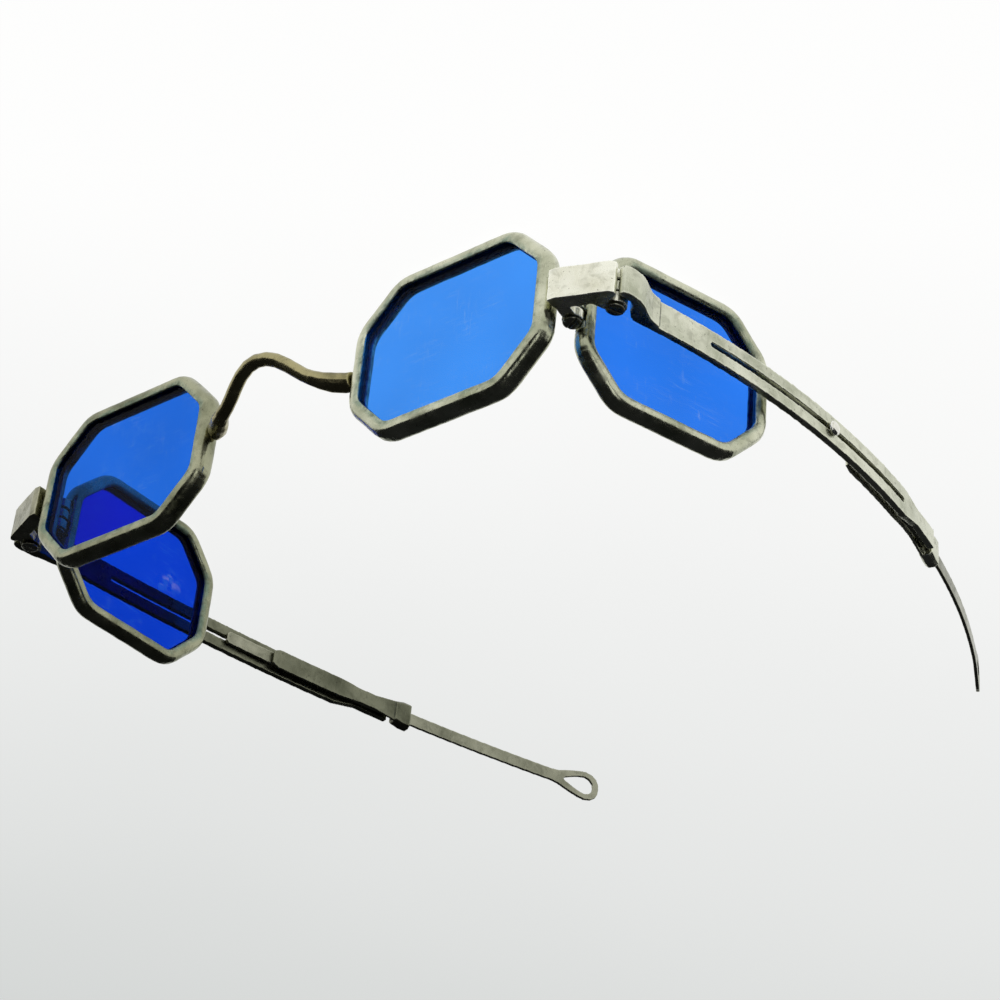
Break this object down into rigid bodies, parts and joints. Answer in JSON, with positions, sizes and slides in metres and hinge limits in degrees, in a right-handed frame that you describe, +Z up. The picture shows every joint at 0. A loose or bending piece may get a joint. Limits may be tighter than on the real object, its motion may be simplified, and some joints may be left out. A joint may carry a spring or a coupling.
{
  "type": "four-lens folding spectacles",
  "caption": "Metal spectacles with two octagonal front lenses, a hinged octagonal side lens on each side, and folding temples with sliding ends, resting upside down.",
  "frame": {"origin": "bottom centre of the whole object's box, on the surface the spectacles lie on", "axes": "+X towards the wearer's right side, +Y from the front lenses back towards the temple ends, +Z up (the spectacles lie upside down, so +Z is towards the wearer's chin)"},
  "size_m": [0.1283, 0.1302, 0.0285],
  "materials": {
    "rim_metal": "tarnished nickel silver, satin",
    "end_piece_metal": "worn nickel silver, satin",
    "temple_metal": "tarnished nickel silver, satin",
    "extension_metal": "rubbed nickel silver",
    "screw_metal": "dark steel",
    "blue_glass": "clear blue, polished"
  },
  "bodies": {
    "front": {"bridge": "rim_metal", "front_rim_right": "rim_metal", "front_lens_right": "blue_glass", "end_piece_right": "end_piece_metal", "side_hinge_screw_right": "screw_metal", "temple_hinge_screw_right": "screw_metal", "front_rim_left": "rim_metal", "front_lens_left": "blue_glass", "end_piece_left": "end_piece_metal", "side_hinge_screw_left": "screw_metal", "temple_hinge_screw_left": "screw_metal"},
    "side_lens_body_right": {"side_rim_right": "rim_metal", "side_lens_right": "blue_glass"},
    "temple_body_right": {"temple_arm_right": "temple_metal", "keeper_right": "temple_metal"},
    "extension_body_right": {"extension_right": "extension_metal", "slide_stud_right": "extension_metal"},
    "side_lens_body_left": {"side_rim_left": "rim_metal", "side_lens_left": "blue_glass"},
    "temple_body_left": {"temple_arm_left": "temple_metal", "keeper_left": "temple_metal"},
    "extension_body_left": {"extension_left": "extension_metal", "slide_stud_left": "extension_metal"}
  },
  "joints": [
    {"name": "temple_fold_right", "type": "hinge", "parent": "front", "child": "temple_body_right", "pos_m": [0.061, -0.05306, 0.014], "axis": [0.061, 0.0557, 0.9966], "range_deg": [0, 55]},
    {"name": "temple_fold_left", "type": "hinge", "parent": "front", "child": "temple_body_left", "pos_m": [-0.0558, -0.05306, 0.014], "axis": [-0.061, -0.0557, -0.9966], "range_deg": [0, 66]},
    {"name": "side_lens_fold_right", "type": "hinge", "parent": "front", "child": "side_lens_body_right", "pos_m": [0.054, -0.05376, 0.01404], "axis": [0, 0.0558, 0.9984], "range_deg": [0, 85.26]},
    {"name": "side_lens_fold_left", "type": "hinge", "parent": "front", "child": "side_lens_body_left", "pos_m": [-0.0488, -0.05376, 0.01404], "axis": [0, -0.0558, -0.9984], "range_deg": [0, 102.31]},
    {"name": "extension_slide_right", "type": "hinge", "parent": "temple_body_right", "child": "extension_body_right", "pos_m": [-0.31197, -0.07388, 0.01516], "axis": [0, 0.0558, 0.9984], "range_deg": [-3.85, 0]},
    {"name": "extension_slide_left", "type": "hinge", "parent": "temple_body_left", "child": "extension_body_left", "pos_m": [0.08825, -0.00494, 0.01131], "axis": [0, -0.0558, -0.9984], "range_deg": [-9.5, 0]}
  ],
  "couplings": [
    {"joint": "side_lens_fold_right", "follows": "temple_fold_right", "ratio": 1.55},
    {"joint": "side_lens_fold_left", "follows": "temple_fold_left", "ratio": 1.55}
  ]
}
